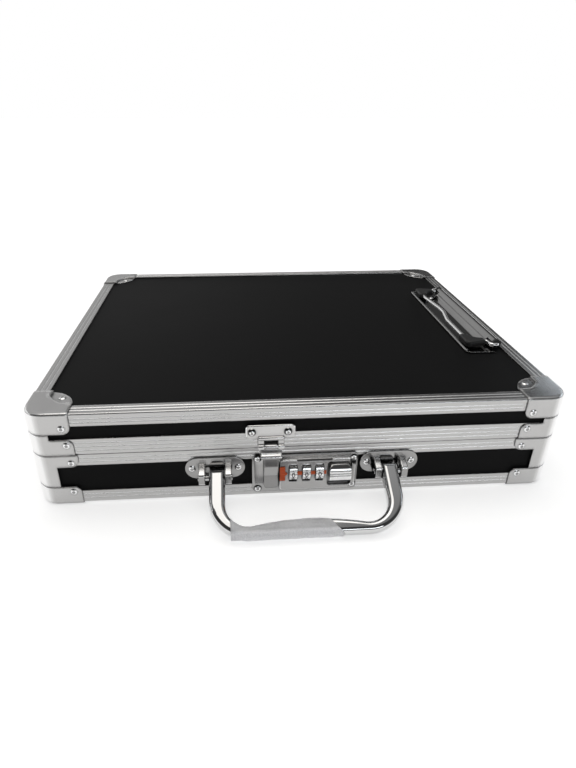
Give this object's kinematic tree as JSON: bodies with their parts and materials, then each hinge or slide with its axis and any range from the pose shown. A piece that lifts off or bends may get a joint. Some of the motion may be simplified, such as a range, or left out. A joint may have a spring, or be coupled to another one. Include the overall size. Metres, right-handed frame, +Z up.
{
  "type": "clipboard case",
  "caption": "Lockable clipboard case: black panels in metal edge extrusions, pressed corners, folding handle, combination lock with hasp and a wire clip on the lid.",
  "frame": {"origin": "on the rest plane, under the middle of the whole part", "axes": "+X to the right along the front, +Y from the handle side to the hinges, +Z up"},
  "size_m": [0.3434, 0.3278, 0.0752],
  "materials": {
    "black_panel": "matt black laminated panel, very fine grain",
    "extrusion": "satin natural anodised, fine ridges along its length",
    "corner_steel": "nickel plated pressed steel, satin",
    "rivet_steel": "bright plated domed head",
    "lining": "thin black foam lining",
    "lock_cast": "satin nickel plated die casting",
    "lock_dark": "black moulded cover",
    "dial_metal": "chrome number wheel with black figures",
    "orange_plastic": "orange pointer and faded red index bars",
    "chrome": "polished chrome",
    "spring_steel": "plain spring steel",
    "film": "thin clear protective film",
    "clip_steel": "nickel plated spring steel",
    "grip_rubber": "black rubber"
  },
  "bodies": {
    "base": {"base_bottom_panel": "black_panel", "base_corner_caps": "corner_steel", "base_frame_back": "extrusion", "base_frame_front": "extrusion", "base_frame_left": "extrusion", "base_frame_right": "extrusion", "base_lining": "lining", "base_panel_back": "black_panel", "base_panel_front": "black_panel", "base_panel_left": "black_panel", "base_panel_right": "black_panel", "base_rim_back": "extrusion", "base_rim_corners": "corner_steel", "base_rim_front": "extrusion", "base_rim_left": "extrusion", "base_rim_right": "extrusion", "base_rivets": "rivet_steel", "dial_axle": "spring_steel", "handle_bracket_left": "lock_cast", "handle_bracket_right": "lock_cast", "handle_pins": "chrome", "hinge_base_leaves": "lock_cast", "hinge_pins": "chrome", "index_marks": "orange_plastic", "lock_back_cover": "lock_dark", "lock_case": "lock_cast"},
    "lid": {"lid_top_panel": "black_panel", "lid_corner_caps": "corner_steel", "lid_rim_corners": "corner_steel", "lid_lining": "lining", "hasp_plate": "lock_cast", "hasp_pin": "lock_cast", "hinge_lid_leaves": "lock_cast", "clip_base": "clip_steel", "clip_bushings": "grip_rubber", "lid_rivets": "rivet_steel", "lid_panel_front": "black_panel", "lid_panel_back": "black_panel", "lid_panel_left": "black_panel", "lid_panel_right": "black_panel", "lid_frame_front": "extrusion", "lid_frame_back": "extrusion", "lid_frame_left": "extrusion", "lid_frame_right": "extrusion", "lid_rim_front": "extrusion", "lid_rim_back": "extrusion", "lid_rim_left": "extrusion", "lid_rim_right": "extrusion"},
    "hasp": {"hasp": "lock_cast", "hasp_staple": "lock_cast"},
    "handle": {"handle_bar": "chrome", "grip_film": "film"},
    "dial_1": {"dial_1": "dial_metal"},
    "dial_2": {"dial_2": "dial_metal"},
    "dial_3": {"dial_3": "dial_metal"},
    "lock_button": {"lock_button": "chrome", "latch_plate": "spring_steel", "latch_spring": "spring_steel"},
    "clip_bail": {"clip_wire": "chrome", "clip_grips": "grip_rubber"}
  },
  "joints": [
    {"name": "lid_hinge", "type": "hinge", "parent": "base", "child": "lid", "pos_m": [0, 0.15868, 0.0388], "axis": [-1, 0, 0], "range_deg": [0, 95]},
    {"name": "hasp_hinge", "type": "hinge", "parent": "lid", "child": "hasp", "pos_m": [-0.02025, -0.12312, 0.0413], "axis": [-1, 0, 0], "range_deg": [0, 100]},
    {"name": "handle_hinge", "type": "hinge", "parent": "base", "child": "handle", "pos_m": [0, -0.12692, 0.0218], "axis": [-1, 0, 0], "range_deg": [-62, 106]},
    {"name": "dial_1_turn", "type": "hinge", "parent": "base", "child": "dial_1", "pos_m": [-0.00605, -0.12002, 0.0211], "axis": [1, 0, 0], "continuous": true},
    {"name": "dial_2_turn", "type": "hinge", "parent": "base", "child": "dial_2", "pos_m": [0.0025, -0.12002, 0.0211], "axis": [1, 0, 0], "continuous": true},
    {"name": "dial_3_turn", "type": "hinge", "parent": "base", "child": "dial_3", "pos_m": [0.01105, -0.12002, 0.0211], "axis": [1, 0, 0], "continuous": true},
    {"name": "button_push", "type": "slide", "parent": "base", "child": "lock_button", "axis": [0, 0, -1], "range_m": [0, 0.0025], "stiffness_N_per_m": 800, "springref_m": -0.001, "deforming": ["latch_spring"]},
    {"name": "clip_lift", "type": "hinge", "parent": "lid", "child": "clip_bail", "pos_m": [0.1555, 0.01498, 0.0719], "axis": [0, 1, 0], "range_deg": [0, 95], "stiffness_Nm_per_rad": 0.15, "springref_deg": -20.05}
  ]
}
